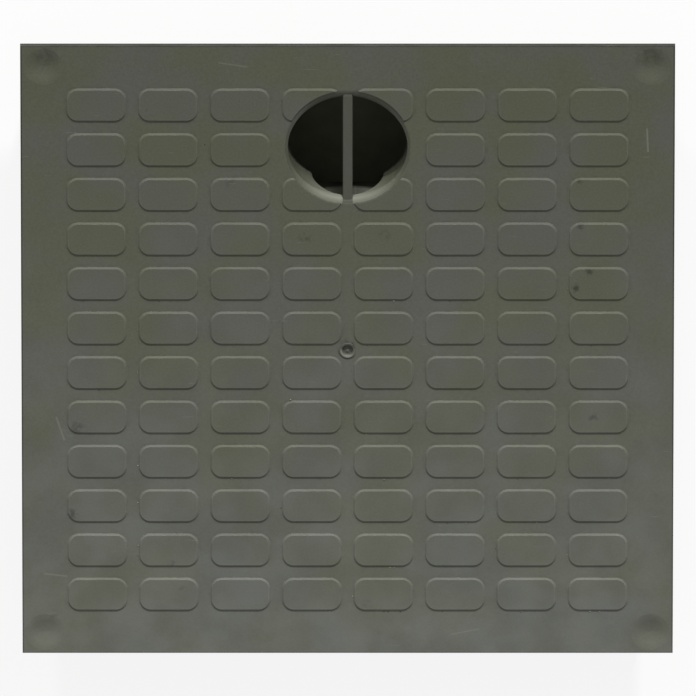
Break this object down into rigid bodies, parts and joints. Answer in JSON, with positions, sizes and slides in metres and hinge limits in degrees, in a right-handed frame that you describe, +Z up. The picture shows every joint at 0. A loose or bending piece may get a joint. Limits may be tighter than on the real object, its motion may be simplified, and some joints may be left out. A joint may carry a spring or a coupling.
{
  "type": "plastic manhole cover",
  "caption": "Square moulded access cover with raised tread pads, a hand hole with a lifting bar, and a ribbed underside that drops into a frame.",
  "frame": {"origin": "on the surface the cover stands on, under the middle of its square plate", "axes": "+Z up out of the tread, +Y from the middle towards the hand hole, +X along the hand hole's side of the plate"},
  "size_m": [0.6, 0.6, 0.057],
  "materials": {
    "moulded_plastic": "dark olive-grey polypropylene, matte from the mould, scuffed and dusty"
  },
  "bodies": {
    "root": {"cover": "moulded_plastic"}
  },
  "joints": []
}
